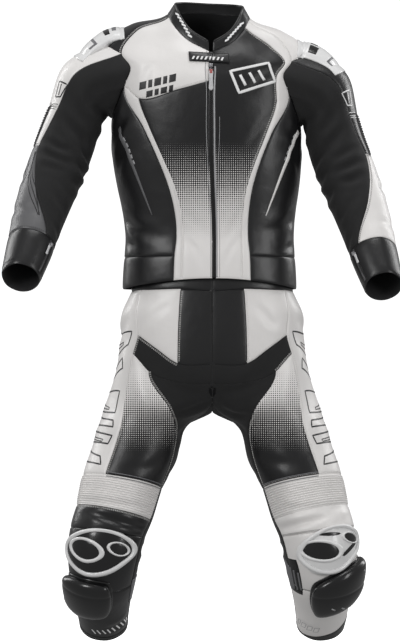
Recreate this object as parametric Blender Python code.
"""Two-piece motorcycle race suit, as it stands when worn, with no wearer: a zipped jacket and trousers.

World frame: metres, +Z up, the front faces -Y, the origin is at the base of the neck, level with the
shoulders. "right" and "left" are the wearer's, so right is -X. Tables are in millimetres and give the +X side;
the other side mirrors them, and lean() then drops the left shoulder a little, as the suit hangs.
"""

import math

import bmesh
import bpy
from mathutils import Vector

MM = 0.001
WALL = 2.0  # leather, mm
SEAM_INSET = 0.15  # each panel stops this short of the seam line, so panels are 0.3 mm apart
OVERLAY_GAP = 1.7  # between a panel and what is sewn or clipped on it
LEAN = math.tan(math.radians(2.7))
LEAN_REACH = 200.0
LEAN_TOP, LEAN_BOTTOM = -250.0, -480.0
TOP_SHIFT = -7.0  # the chest hangs this far to the wearer's right of the hem
SLEEVE_SHIFT = -9.0
JACKET_CENTRE = 10.0
LEG_CENTRE = 6.0
ROUNDNESS = 2.3

# Jacket rows from the hem to the chest: a ring each, which is an oval of power ROUNDNESS.
# front_z, side_z, back_z, half_width, front, back, then x of the middle, the stripe's inner and outer edge.
JACKET_RINGS = (
    (-565, -588, -592, 191, 116, 112, 34, 66, 84),
    (-514, -519, -522, 187, 112, 108, 34, 65, 82),
    (-476, -480, -482, 184, 107, 104, 34, 64, 78),
    (-418, -420, -422, 189, 111, 106, 35, 68, 81),
    (-368, -370, -372, 198, 118, 111, 38, 78, 91),
    (-310, -310, -310, 206, 126, 115, 48, 100, 111),
    (-245, -245, -245, 208, 131, 118, 60, 127, 139),
)
JACKET_ANGLES = (60, 76, 90, 118, 150, 180)  # of the columns behind the stripe, from the front

# Rows above the chest, as (x, y, z) of ten columns: zip edge, middle, stripe inner, stripe outer or armhole
# front, three over the arm, armhole back, middle back, centre back.
ARMPIT_ROW = (
    (4, -127, -136), (66, -126, -157), (150, -101, -180), (180, -78, -157), (194, -60, -188),
    (205, -32, -213), (208, 6, -222), (190, 66, -196), (108, 110, -200), (0, 119, -200),
)
CHEST_ROW = (
    (4, -124, -125), (76, -121, -124), (152, -98, -116), (167, -88, -114), (205, -50, -140),
    (224, 0, -150), (214, 45, -145), (178, 84, -140), (105, 113, -140), (0, 119, -140),
)
SHOULDER_ROW = (
    (4, -119, -112), (84, -113, -104), (171, -80, -86), (186, -68, -82), (214, -42, -66),
    (227, 0, -57), (217, 38, -63), (193, 70, -84), (100, 104, -84), (0, 113, -84),
)
MID_SHOULDER_ROW = (
    (4, -109, -90), (68, -101, -74), (138, -68, -52), (154, -54, -30), (163, -28, -19),
    (166, 0, -14), (160, 28, -17), (146, 54, -26), (80, 80, -20), (0, 92, -12),
)
NECK_ROW = (
    (4, -94, -70), (50, -84, -46), (80, -60, -12), (88, -40, 4), (91, -20, 10),
    (90, 0, 14), (84, 22, 18), (68, 42, 21), (36, 57, 23), (0, 63, 24),
)
COLLAR_TOP_ROW = (
    (5, -88, -48), (42, -78, -24), (64, -56, 8), (71, -38, 26), (75, -19, 34),
    (75, 0, 38), (70, 21, 41), (57, 39, 43), (31, 51, 44), (0, 56, 44),
)
BAND, ARMPIT, CHEST, SHOULDER, NECK = 1, 7, 8, 9, 11
ARMHOLE = range(3, 7)  # columns of cells that the sleeve leaves open, between ARMPIT and SHOULDER

# Sleeve rings: x, y, z, half_width, half_depth, roll, pitch, front_seam, back_seam (all angles in degrees).
# Angles round the arm go from the outside through the front, the inside and the back.
SLEEVE_RINGS = (
    (262, -2, -160, 73, 76, 50, 0, 57, 290),
    (281, -6, -219, 63, 68, 24, -3, 48, 285),
    (296, -10, -264, 63, 67, 22, -8, 42, 280),
    (311, -20, -310, 64, 66, 21, -14, 33, 275),
    (330, -42, -362, 62, 61, 20, -24, 44, 270),
    (349, -72, -418, 58, 57, 18, -32, 68, 268),
    (371, -122, -498, 51, 50, 14, -38, 124, 262),
    (392, -176, -574, 42, 42, 12, -46, 130, 262),
)
RIBS_TOP, ELBOW, WRIST, CUFF_END = 2, 4, 7, 8
FRONT_SEAM, BACK_SEAM = 2, 10  # columns
CUFF_ZIP_COLUMN = 3
UNDERARM = 6

# Trousers rows above the legs, as ovals: front_z, side_z, back_z, half_width, front, back, then x and z of the
# centre panel's edge, the thigh panel's inner edge, its middle and its outer edge.
HIP_RINGS = (
    (-540, -540, -536, 170, 98, 98, 58, -540, 96, -540, 125, -540, 148, -540),
    (-592, -594, -596, 178, 106, 103, 69, -588, 112, -589, 138, -590, 158, -590),
    (-640, -640, -640, 197, 112, 124, 73, -640, 118, -638, 146, -637, 166, -636),
    (-752, -705, -715, 201, 114, 130, 76, -750, 120, -720, 142, -704, 163, -689),
    (-795, -775, -775, 212, 108, 129, 76, -792, 139, -768, 157, -748, 174, -730),
)
HIP_ANGLES = (90, 112, 140, 162, 180)
# The row where the legs part, then the legs' rings: x, y, z, half_width, half_depth, roll, pitch, inner_edge,
# outer_edge (the thigh panel's edges, in degrees from the front towards the outside).
FORK_ROW = (
    (0, -66, -838), (46, -86, -845), (93, -96, -850), (146, -98, -850), (194, -72, -848), (236, 4, -850),
    (222, 66, -850), (166, 112, -846), (84, 126, -838), (0, 96, -822), (0, 42, -852), (0, -14, -858),
)
LEG_RINGS = (
    (158, 6, -897, 92, 100, 6, -6, -58, 27),
    (170, -6, -945, 93, 93, 9, -8, -62, 28),
    (197, -26, -1011, 88, 88, 10, -10, -76, 26),
    (215, -46, -1079, 84, 82, 12, -10, -74, 24),
    (229, -60, -1120, 82, 79, 8, -4, -70, 24),
    (236, -64, -1166, 79, 76, 4, 8, -66, 26),
    (240, -42, -1216, 72, 71, 2, 28, -62, 30),
    (241, 10, -1272, 61, 63, 0, 40, -60, 34),
    (240, 62, -1328, 52, 53, 0, 42, -60, 36),
)
RIBS_START, RIBS_END, KNEE_TOP, KNEE_END = 3, 4, 5, 7

# Hanging pieces of the main zip: the top of each, where its far end lies, and its sizes.
SLIDER = {"head": (3.0, -117.2, -98.5), "end": (3.0, -120.8, -106.5), "wide": 8.0, "thick": 5.0}
PULL = {"head": (3.0, -126.5, -109.0), "end": (3.0, -132.5, -160.0), "wide": 11.0, "thick": 3.0}
CUFF_PULL = {"long": 27.0, "wide": 7.0, "thick": 2.0, "along": 16.0, "off": 7.5}
# The slim inlay on each side panel: x and row of its lower tip and of its upper end, and its widths there.
SPEAR = {"tip": (121, 3.0, 2.0), "top": (191, 6.0, 13.0), "thick": 1.2, "gap": 2.6}

LEATHER_WHITE = ((0.86, 0.84, 0.82), 0.42, 0.0)
LEATHER_BLACK = ((0.018, 0.018, 0.02), 0.38, 0.0)
LEATHER_GREY = ((0.2, 0.2, 0.21), 0.42, 0.0)
STRETCH = ((0.008, 0.008, 0.009), 0.85, 0.0)
PLASTIC_WHITE = ((0.82, 0.82, 0.83), 0.3, 0.0)
PLASTIC_BLACK = ((0.015, 0.015, 0.016), 0.3, 0.0)
RUBBER_GREY = ((0.55, 0.55, 0.56), 0.6, 0.0)
METAL_GREY = ((0.5, 0.5, 0.52), 0.3, 1.0)


def smooth(low, high, value):
    t = min(max((value - low) / (high - low), 0.0), 1.0)
    return t * t * (3 - 2 * t)


def lean(point, share=None):
    """Shifts the chest to the right and drops its left side; share is 1 on the sleeves, which hang from it."""
    x, y, z = point
    if share is None:
        share = smooth(LEAN_BOTTOM, LEAN_TOP, z)
    across = min(max(x, -LEAN_REACH), LEAN_REACH)
    return Vector((x + TOP_SHIFT * share, y, z - across * LEAN * share))


def oval(angle, half_width, front, back):
    """(x, y) on an oval of power ROUNDNESS, from the front (0) round by +X."""
    sine, cosine = math.sin(math.radians(angle)), math.cos(math.radians(angle))
    x = half_width * abs(sine) ** (2 / ROUNDNESS)
    depth = abs(cosine) ** (2 / ROUNDNESS)
    return x, -front * depth if cosine > 0 else back * depth


def oval_front(x, half_width, front):
    return -front * max(1 - (x / half_width) ** ROUNDNESS, 0) ** (1 / ROUNDNESS)


def ring_height(angle, front_z, side_z, back_z):
    cosine = math.cos(math.radians(angle))
    end = front_z if cosine > 0 else back_z
    return side_z + (end - side_z) * cosine * cosine


def jacket_rows(side):
    """Rows of ten points, hem to collar top, on one side (1 is left, -1 is right)."""
    rows = []
    for front_z, side_z, back_z, half_width, front, back, middle, inner, outer in JACKET_RINGS:
        row = []
        for x in (4, middle, inner, outer):
            angle = math.degrees(math.asin(min(x / half_width, 1)))
            row.append((x, oval_front(x, half_width, front), ring_height(angle, front_z, side_z, back_z)))
        for angle in JACKET_ANGLES:
            x, y = oval(angle, half_width, front, back)
            row.append((x, y, ring_height(angle, front_z, side_z, back_z)))
        rows.append(row)
    rows += [ARMPIT_ROW, CHEST_ROW, SHOULDER_ROW, MID_SHOULDER_ROW, NECK_ROW, COLLAR_TOP_ROW]
    result = []
    for row in rows:
        placed = []
        for column, (x, y, z) in enumerate(row):
            offset = JACKET_CENTRE * max(1 - abs(x) / 190, 0) if column < 9 else 0
            placed.append(lean((side * x + offset, y, z)))
        result.append(placed)
    return result


def limb_point(ring, side, centre, across, along):
    """A point of a limb's ring; across is 1 at the outside and along is 1 at the front."""
    x, y, z, half_width, half_depth, roll, pitch = ring[:7]
    roll, pitch = math.radians(roll), math.radians(pitch)
    out = Vector((math.cos(roll), 0, math.sin(roll)))
    up = Vector((-math.sin(roll), 0, math.cos(roll)))
    back = Vector((0, 1, 0)) * math.cos(pitch) + up * math.sin(pitch)
    point = Vector((x, y, z)) + out * half_width * across - back * half_depth * along
    return Vector((side * point.x + centre, point.y, point.z))


def sleeve_angles(front_seam, back_seam):
    """Degrees of the twelve columns: even from the outside to a seam, and even between the seams."""
    inner = [front_seam + (back_seam - front_seam) * i / 8 for i in range(9)]
    return [0, front_seam / 2] + inner + [(back_seam + 360) / 2]


def armhole(rows):
    """The twelve points of the armhole, from its top round by the front."""
    top, middle, low = rows[SHOULDER], rows[CHEST], rows[ARMPIT]
    return [top[5], top[4], top[3], middle[3], low[3], low[4], low[5], low[6], low[7], middle[7], top[7], top[6]]


def sleeve_rows(rows, side):
    result = [armhole(rows)]
    for number, ring in enumerate(SLEEVE_RINGS):
        placed = []
        for angle in sleeve_angles(ring[7], ring[8]):
            turn = math.radians(angle)
            point = limb_point(ring, side, 0, math.cos(turn), math.sin(turn))
            shift = SLEEVE_SHIFT * smooth(0, 3, number + 1)
            placed.append(lean(point, 1.0) + Vector((shift, 0, 0)))
        result.append(placed)
    return result


def hip_rows(side):
    result = []
    for ring in HIP_RINGS:
        front_z, side_z, back_z, half_width, front, back = ring[:6]
        row = [(0, -front, front_z)]
        for x, z in zip(ring[6::2], ring[7::2]):
            row.append((x, oval_front(x, half_width, front), z))
        for angle in HIP_ANGLES:
            x, y = oval(angle, half_width, front, back)
            row.append((x, y, ring_height(angle, front_z, side_z, back_z)))
        result.append([Vector((side * x + LEG_CENTRE, y, z)) for x, y, z in row])
    return result


def leg_angles(inner_edge, outer_edge):
    middle = (inner_edge + outer_edge) / 2
    return [-100, (inner_edge - 100) / 2, inner_edge, middle, outer_edge, 72, 110, 148, 184, 210, 227, 243]


def leg_rows(side):
    result = [[Vector((side * x + LEG_CENTRE, y, z)) for x, y, z in FORK_ROW]]
    for ring in LEG_RINGS:
        placed = []
        for angle in leg_angles(ring[7], ring[8]):
            turn = math.radians(angle)
            placed.append(limb_point(ring, side, LEG_CENTRE, math.sin(turn), math.cos(turn)))
        result.append(placed)
    return result


class Surface:
    """A garment's points, welded, with its cells sorted into named panels."""

    def __init__(self):
        self.points = []
        self.index = {}
        self.panels = {}
        self.grids = {}

    def vertex(self, point):
        key = tuple(round(value, 3) for value in point)
        if key not in self.index:
            self.index[key] = len(self.points)
            self.points.append(Vector(point))
        return self.index[key]

    def add_grid(self, name, rows, side, closed, label):
        """Cells of rows; label(row, column) names the panel of each, or None. side turns the faces outward."""
        numbers = [[self.vertex(point) for point in row] for row in rows]
        width = len(numbers[0])
        self.grids[name] = (numbers, side)
        for r in range(len(numbers) - 1):
            for c in range(width if closed else width - 1):
                panel = label(r, c)
                if not panel:
                    continue
                corners = (numbers[r][c], numbers[r][(c + 1) % width])
                corners += (numbers[r + 1][(c + 1) % width], numbers[r + 1][c])
                self.panels.setdefault(panel, []).append(corners if side > 0 else corners[::-1])

    def normals(self):
        total = [Vector((0, 0, 0)) for _ in self.points]
        for cells in self.panels.values():
            for cell in cells:
                a, b, c, d = (self.points[i] for i in cell)
                normal = (c - a).cross(d - b)
                for i in cell:
                    total[i] = total[i] + normal
        return [normal.normalized() if normal.length > 0 else normal for normal in total]


def inset_shift(cells, points, normals):
    """How far each boundary point of a panel moves into it, so that the panel stops short of the seam."""
    directed = {}
    for cell in cells:
        for a, b in zip(cell, cell[1:] + cell[:1]):
            directed[(a, b)] = True
    shift = {}
    inward = {}
    for a, b in directed:
        if (b, a) in directed or a == b:
            continue
        edge = (points[b] - points[a]).normalized()
        for i in (a, b):
            inward.setdefault(i, []).append(normals[i].cross(edge).normalized())
    for i, directions in inward.items():
        total = sum(directions, Vector((0, 0, 0)))
        if total.length < 0.3:
            total = directions[0]
        middle = total.normalized()
        cosine = max(min(middle.dot(direction) for direction in directions), 0.35)
        shift[i] = middle * (SEAM_INSET / cosine)
    return shift


def solid(name, cells, points, normals, low, high, finish, collection, inset=True, heights=None):
    """A closed piece over cells: its skin is high above the surface and its underside low, in mm."""
    shift = inset_shift(cells, points, normals) if inset else {}
    mesh = bpy.data.meshes.new(name)
    body = bmesh.new()
    made = {}
    lift = {}
    for i in dict.fromkeys(i for cell in cells for i in cell):
        base = points[i] + shift.get(i, Vector((0, 0, 0)))
        made[i] = body.verts.new((base + normals[i] * low) * MM)
        top = high if heights is None else heights(i)
        lift[made[i].co.copy().freeze()] = normals[i] * (top - low) * MM
    for cell in cells:
        corners = [made[i] for i in dict.fromkeys(cell)]
        if len(corners) > 2:
            body.faces.new(corners)
    grown = bmesh.ops.extrude_face_region(body, geom=body.faces[:], use_keep_orig=True)
    for vert in (item for item in grown["geom"] if isinstance(item, bmesh.types.BMVert)):
        vert.co = vert.co + lift[vert.co.copy().freeze()]
    bmesh.ops.triangulate(body, faces=body.faces[:])
    bmesh.ops.recalc_face_normals(body, faces=body.faces[:])
    body.to_mesh(mesh)
    body.free()
    piece = bpy.data.objects.new(name, mesh)
    collection.objects.link(piece)
    paint(piece, finish)
    return piece


def paint(piece, finish):
    colour, roughness, metallic = finish
    material = bpy.data.materials.new(piece.name)
    material.use_nodes = True
    shader = material.node_tree.nodes["Principled BSDF"]
    shader.inputs["Base Color"].default_value = (*colour, 1)
    shader.inputs["Roughness"].default_value = roughness
    shader.inputs["Metallic"].default_value = metallic
    piece.data.materials.append(material)


def between(low, high, parts):
    """Values from low to high with every whole number between them, so an overlay bends where its panel does."""
    values = {low, high}
    values.update(range(math.ceil(low), math.floor(high) + 1))
    marks = sorted(values)
    result = []
    for a, b in zip(marks, marks[1:]):
        result += [a + (b - a) * i / parts for i in range(parts)]
    return result + [high]


def column_of(surface, grid, row, x):
    """The fractional column at which a grid's row passes x, with the lean's sideways shift taken out."""
    numbers, _ = surface.grids[grid]
    low = min(int(row), len(numbers) - 2)
    share = row - low
    line = []
    for a, b in zip(numbers[low], numbers[low + 1]):
        point = surface.points[a].lerp(surface.points[b], share)
        line.append(point.x - TOP_SHIFT * smooth(LEAN_BOTTOM, LEAN_TOP, point.z))
    for column in range(UNDERARM):
        if abs(line[column]) <= abs(x) <= abs(line[column + 1]):
            return column + (x - line[column]) / (line[column + 1] - line[column])
    return float(UNDERARM)


def overlay(name, surface, normals, grid, columns, rows, height, finish, collection, parts=2, gap=OVERLAY_GAP,
            keep=None, place=None):
    """A piece that lies on a grid of the surface, between fractional columns and rows.

    height(u, v) is its thickness at shares u across and v along; keep(u, v) drops cells, for windows; and
    place(column, row) moves its points over the grid, for a slanted piece.
    """
    numbers, side = surface.grids[grid]
    width = len(numbers[0])
    across, along = between(*columns, parts), between(*rows, parts)
    points, lifted, cells, tops = [], [], [], []
    for r in along:
        r0 = min(int(math.floor(r)), len(numbers) - 2)
        for column in across:
            c = place(column, r) if place else column
            c0 = int(math.floor(c))
            corners = [numbers[r0][c0 % width], numbers[r0][(c0 + 1) % width]]
            corners += [numbers[r0 + 1][c0 % width], numbers[r0 + 1][(c0 + 1) % width]]
            s, t = c - c0, r - r0
            weights = ((1 - s) * (1 - t), s * (1 - t), (1 - s) * t, s * t)
            points.append(sum((surface.points[i] * w for i, w in zip(corners, weights)), Vector((0, 0, 0))))
            lifted.append(sum((normals[i] * w for i, w in zip(corners, weights)), Vector((0, 0, 0))).normalized())
            u = (column - columns[0]) / (columns[1] - columns[0])
            v = (r - rows[0]) / (rows[1] - rows[0])
            tops.append(gap + height(u, v))
    for j in range(len(along) - 1):
        for i in range(len(across) - 1):
            u = ((across[i] + across[i + 1]) / 2 - columns[0]) / (columns[1] - columns[0])
            v = ((along[j] + along[j + 1]) / 2 - rows[0]) / (rows[1] - rows[0])
            if keep and not keep(u, v):
                continue
            base = j * len(across) + i
            cell = (base, base + 1, base + len(across) + 1, base + len(across))
            cells.append(cell if side > 0 else cell[::-1])
    return solid(name, cells, points, lifted, gap, 0, finish, collection, False, lambda i: tops[i])


def dome(edge, middle):
    """A thickness that grows from the edge to the middle."""
    return lambda u, v: edge + (middle - edge) * min(16 * u * (1 - u) * v * (1 - v), 1)


def hanging(name, head, down, out, size, finish, collection):
    """A flat pull that hangs from head; its origin is on its hinge, at the middle of its top edge."""
    across = down.cross(out).normalized()
    bpy.ops.mesh.primitive_cube_add(size=1)
    piece = bpy.context.active_object
    piece.name = piece.data.name = name
    mesh = piece.data
    for vert in mesh.vertices:
        x, y, z = vert.co
        local = across * (x * size["wide"]) + out * (y * size["thick"]) + down * ((z + 0.5) * size["long"])
        vert.co = local * MM
    body = bmesh.new()
    body.from_mesh(mesh)
    long_edges = [e for e in body.edges if abs((e.verts[0].co - e.verts[1].co).normalized().dot(out)) > 0.99]
    bmesh.ops.bevel(body, geom=long_edges, offset=size["wide"] * 0.25 * MM, segments=2, affect="EDGES")
    bmesh.ops.recalc_face_normals(body, faces=body.faces[:])
    body.to_mesh(mesh)
    body.free()
    piece.location = head * MM
    for old in piece.users_collection:
        old.objects.unlink(piece)
    collection.objects.link(piece)
    paint(piece, finish)
    return piece


def jacket_label(side):
    hand = "left" if side > 0 else "right"

    def label(row, column):
        if row >= NECK:
            return "collar"
        if ARMPIT <= row < SHOULDER and column in ARMHOLE:
            return None
        if row < BAND and column >= 3:
            return "hem_band"
        if row >= SHOULDER and 3 <= column < 7:
            return "saddle_" + hand
        if column < 2:
            return "front_yoke_right" if side < 0 and row >= ARMPIT else "front_panel_" + hand
        if column == 2:
            return "front_yoke_right" if side < 0 and row >= ARMPIT else "front_stripe_" + hand
        if column < 7:
            return "side_" + hand
        return "back_panel"

    return label


def centre_label(row, column):
    return None if row >= NECK else "front_zip"


def sleeve_label(hand):
    def label(row, column):
        outside = column >= BACK_SEAM or column < FRONT_SEAM
        if row >= WRIST:
            return "cuff_" + hand
        if not outside:
            return "sleeve_stretch_" + hand
        if row >= ELBOW:
            return "forearm_" + hand
        if row >= RIBS_TOP and column != 1:
            return "elbow_ribs_" + hand
        return "sleeve_outer_" + hand

    return label


def hip_label(hand):
    def label(row, column):
        if row == 0:
            return "waistband"
        if column == 0:
            return "fly_panel" if row < 3 else "crotch_" + hand
        if row == 4 and 2 <= column < 4:
            return "thigh_front_" + hand
        if column < 4:
            return "hip_" + hand if row < 3 else "crotch_" + hand
        if column < 6:
            return "leg_side_" + hand
        return "seat_" + hand

    return label


def leg_label(hand):
    def label(row, column):
        if row < RIBS_START:
            if 2 <= column < 4:
                return "thigh_front_" + hand
            if 4 <= column < 6:
                return "leg_side_" + hand
            return "seat_" + hand if 6 <= column < 9 else "crotch_" + hand
        if row < RIBS_END:
            return "knee_ribs_" + hand if 2 <= column < 6 else "calf_" + hand
        if row < KNEE_TOP:
            return "knee_fold_" + hand if 2 <= column < 6 else "calf_" + hand
        if row < KNEE_END:
            return "knee_cup_" + hand if 2 <= column < 6 else "calf_" + hand
        return "shin_" + hand if 1 <= column < 6 else "calf_" + hand

    return label


WHITE_PANELS = ("front_yoke_right", "front_stripe_right", "front_stripe_left", "saddle_left", "forearm_left",
                "hip_right", "hip_left", "leg_side_right", "leg_side_left", "knee_ribs_right", "knee_ribs_left",
                "knee_fold_left", "knee_cup_left", "shin_left")
STRETCH_PANELS = ("sleeve_stretch_right", "sleeve_stretch_left", "crotch_right", "crotch_left",
                  "calf_right", "calf_left")


def finish_of(panel):
    if panel in WHITE_PANELS:
        return LEATHER_WHITE
    if panel in STRETCH_PANELS:
        return STRETCH
    if panel == "forearm_right":
        return LEATHER_GREY
    return LEATHER_BLACK


def build_panels(surface, collection):
    normals = surface.normals()
    for panel, cells in surface.panels.items():
        solid(panel, cells, surface.points, normals, -WALL, 0, finish_of(panel), collection)
    return normals


def frame_at(surface, normals, grid, column, row, towards):
    """A point of the surface, its outward normal and the direction along it towards another row."""
    numbers, _ = surface.grids[grid]
    here = surface.points[numbers[row][column]]
    there = surface.points[numbers[towards][column]]
    out = normals[numbers[row][column]]
    down = there - here
    down = (down - out * down.dot(out)).normalized()
    return here, out, down


def spear_place(surface, grid, side):
    """Maps the spear's own columns, 0 to 1 across it, to columns of the body."""
    (tip_x, tip_row, tip_wide), (top_x, top_row, top_wide) = SPEAR["tip"], SPEAR["top"]

    def place(column, row):
        share = (row - tip_row) / (top_row - tip_row)
        middle = tip_x + (top_x - tip_x) * share
        wide = tip_wide + (top_wide - tip_wide) * share
        return column_of(surface, grid, row, side * (middle + (column - 0.5) * wide))

    return place


def cuff_pull(surface, normals, hand, collection):
    here, out, down = frame_at(surface, normals, "arm_" + hand, CUFF_ZIP_COLUMN, WRIST, CUFF_END)
    head = here + down * CUFF_PULL["along"] + out * CUFF_PULL["off"]
    return hanging("cuff_pull_" + hand, head, down, out, CUFF_PULL, RUBBER_GREY, collection)


def jacket(collection):
    surface = Surface()
    sides = {side: jacket_rows(side) for side in (1, -1)}
    for side, hand in ((1, "left"), (-1, "right")):
        surface.add_grid("body_" + hand, sides[side], side, False, jacket_label(side))
        surface.add_grid("arm_" + hand, sleeve_rows(sides[side], side), side, True, sleeve_label(hand))
    centre = [[left[0], right[0]] for left, right in zip(sides[1], sides[-1])]
    surface.add_grid("centre", centre, -1, False, centre_label)
    normals = build_panels(surface, collection)
    front = [[right[c] for c in (3, 2, 1, 0)] + [left[c] for c in range(4)]
             for right, left in zip(sides[-1], sides[1])]
    surface.grids["front"] = ([[surface.vertex(point) for point in row] for row in front], 1)
    for side, hand in ((1, "left"), (-1, "right")):
        overlay("spear_" + hand, surface, normals, "body_" + hand, (0, 1), (SPEAR["tip"][1], SPEAR["top"][1]),
                lambda u, v: SPEAR["thick"], LEATHER_GREY if hand == "right" else LEATHER_WHITE, collection, 2, SPEAR["gap"],
                place=spear_place(surface, "body_" + hand, side))
        overlay("shoulder_cap_" + hand, surface, normals, "arm_" + hand, (10.5, 13.4), (0.15, 1.25),
                dome(3.0, 9.0), PLASTIC_WHITE, collection)
        cuff_pull(surface, normals, hand, collection)
        overlay("cuff_zip_" + hand, surface, normals, "arm_" + hand, (CUFF_ZIP_COLUMN - 0.17, CUFF_ZIP_COLUMN + 0.17), (7.06, 7.94),
                lambda u, v: 1.6, METAL_GREY, collection, 1)
    overlay("collar_tab", surface, normals, "front", (2.2, 4.65), (9.75, 10.85), lambda u, v: 2.5,
            LEATHER_BLACK, collection, 1)
    for name, size, finish in (("zip_slider", SLIDER, METAL_GREY), ("zip_pull", PULL, RUBBER_GREY)):
        head, end = Vector(size["head"]), Vector(size["end"])
        down = (end - head).normalized()
        out = Vector((0, down.z, -down.y))
        plate = {"long": (end - head).length, "wide": size["wide"], "thick": size["thick"]}
        hanging(name, head, down, out, plate, finish, collection)
    return surface, normals


def trousers(collection):
    surface = Surface()
    for side, hand in ((1, "left"), (-1, "right")):
        hips = hip_rows(side)
        legs = leg_rows(side)
        surface.add_grid("hip_" + hand, (hips + [legs[0][:10]])[::-1], side, False,
                         lambda r, c, pick=hip_label(hand): pick(len(HIP_RINGS) - 1 - r, c))
        surface.add_grid("leg_" + hand, legs, -side, True, leg_label(hand))
    normals = build_panels(surface, collection)
    for hand in ("left", "right"):
        overlay("knee_frame_" + hand, surface, normals, "leg_" + hand, (2.3, 5.2), (5.0, 6.9), dome(3.0, 6.0),
                PLASTIC_WHITE, collection, 2, keep=lambda u, v: not (0.2 < u < 0.8 and 0.3 < v < 0.7))
        overlay("knee_slider_" + hand, surface, normals, "leg_" + hand, (3.2, 5.6), (7.0, 8.3),
                dome(10.0, 24.0), PLASTIC_BLACK, collection)
    return surface, normals


def main():
    for old in list(bpy.data.objects):
        bpy.data.objects.remove(old, do_unlink=True)
    collection = bpy.data.collections.new("race_suit")
    bpy.context.scene.collection.children.link(collection)
    jacket(collection)
    trousers(collection)


main()
